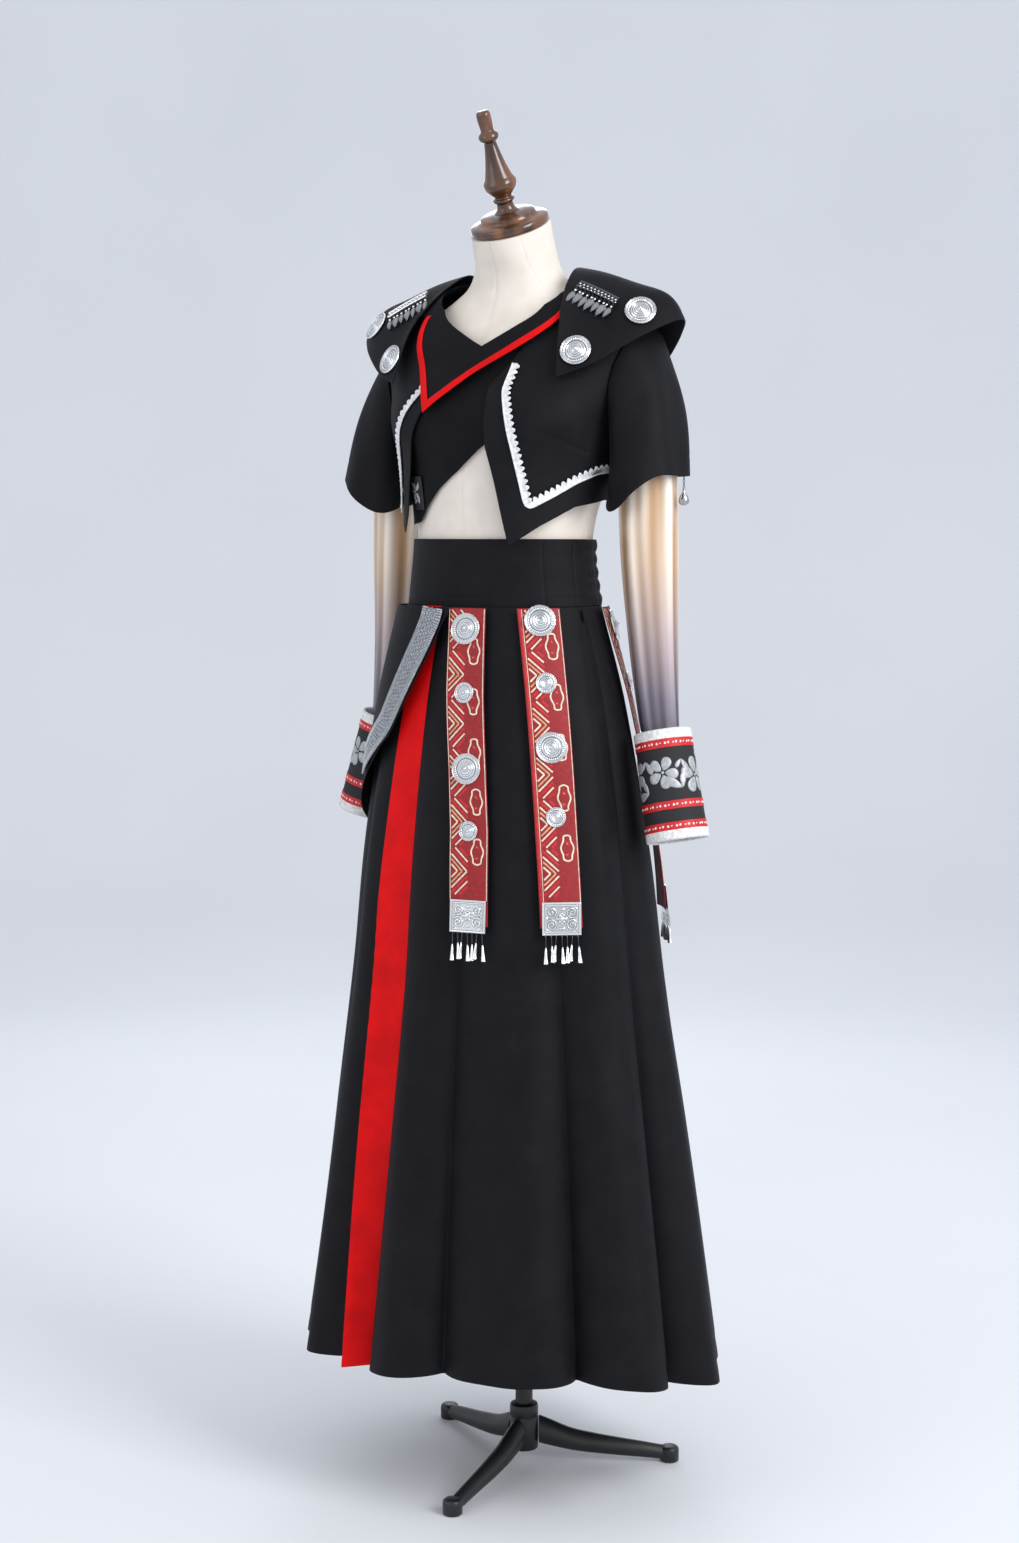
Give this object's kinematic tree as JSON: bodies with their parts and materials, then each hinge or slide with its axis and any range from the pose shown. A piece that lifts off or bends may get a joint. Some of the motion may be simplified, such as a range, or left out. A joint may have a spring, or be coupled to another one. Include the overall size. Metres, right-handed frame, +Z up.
{
  "type": "folk stage costume on a limbless dress form with a tripod stand",
  "caption": "Black folk costume: cropped open jacket with shoulder collars, crop top, satin undersleeves with cuffs and a long fluted skirt with red ribbons, on a dress form.",
  "frame": {"origin": "centre of the footprint of the whole, on the floor", "axes": "+Z up; -Y is the wearer's front; +X is the wearer's left"},
  "size_m": [0.5736, 0.4274, 1.6768],
  "materials": {
    "linen": "cream linen cover of the dress form",
    "walnut": "dark walnut, gloss varnish",
    "stand": "black powder coat",
    "black_suiting": "black plain-weave suiting",
    "scarlet_cloth": "scarlet cloth and bias tape",
    "brocade": "red brocade ribbon with cream figures",
    "silver": "stamped silver-coloured alloy",
    "lace": "silver-white scalloped braid",
    "beaded_braid": "grey beaded braid",
    "satin": "satin dyed from champagne to violet-grey",
    "cuff_brocade": "black cloth with silver-grey flowers and red and white bands"
  },
  "bodies": {
    "root": {"form_torso": "linen", "form_neck_cap": "walnut", "form_finial": "walnut", "stand_pole": "stand", "stand_collar": "stand", "stand_leg_left": "stand", "stand_leg_back": "stand", "stand_leg_front": "stand", "crop_top": "black_suiting", "bib": "black_suiting", "bib_piping": "scarlet_cloth", "top_patch": "cuff_brocade", "jacket_front_left": "black_suiting", "jacket_front_right": "black_suiting", "jacket_back": "black_suiting", "jacket_lace": "lace", "short_sleeve_left": "black_suiting", "short_sleeve_right": "black_suiting", "undersleeve_left": "satin", "undersleeve_right": "satin", "cuff_left": "cuff_brocade", "cuff_right": "cuff_brocade", "shoulder_flap_left": "black_suiting", "shoulder_flap_right": "black_suiting", "boss_flap_left_front": "silver", "boss_flap_left_tip": "silver", "boss_flap_right_front": "silver", "boss_flap_right_tip": "silver", "brooch_left": "silver", "brooch_right": "silver", "waistband": "black_suiting", "skirt_godet_red": "scarlet_cloth", "skirt_gore_front": "black_suiting", "skirt_gore_left": "black_suiting", "skirt_gore_back_left": "black_suiting", "skirt_gore_back_right": "black_suiting", "skirt_gore_right": "black_suiting", "hip_flap": "black_suiting", "hip_trim": "beaded_braid", "ribbon_front": "brocade", "boss_ribbon_front_1": "silver", "boss_ribbon_front_2": "silver", "boss_ribbon_front_3": "silver", "boss_ribbon_front_4": "silver", "end_ribbon_front": "silver", "ribbon_left_front": "brocade", "boss_ribbon_left_front_1": "silver", "boss_ribbon_left_front_2": "silver", "boss_ribbon_left_front_3": "silver", "boss_ribbon_left_front_4": "silver", "end_ribbon_left_front": "silver", "ribbon_left_side": "brocade", "boss_ribbon_left_side_1": "silver", "boss_ribbon_left_side_2": "silver", "boss_ribbon_left_side_3": "silver", "boss_ribbon_left_side_4": "silver", "end_ribbon_left_side": "silver", "zip_tab": "black_suiting"},
    "drop_left": {"sleeve_drop_left": "silver"},
    "drop_right": {"sleeve_drop_right": "silver"}
  },
  "joints": [
    {"name": "sleeve_drop_left_swing", "type": "hinge", "parent": "root", "child": "drop_left", "pos_m": [0.23235, 0.02613, 1.2455], "axis": [1, 0, 0], "range_deg": [-30, 30]},
    {"name": "sleeve_drop_right_swing", "type": "hinge", "parent": "root", "child": "drop_right", "pos_m": [-0.23765, 0.04213, 1.2455], "axis": [1, 0, 0], "range_deg": [-30, 30]}
  ]
}
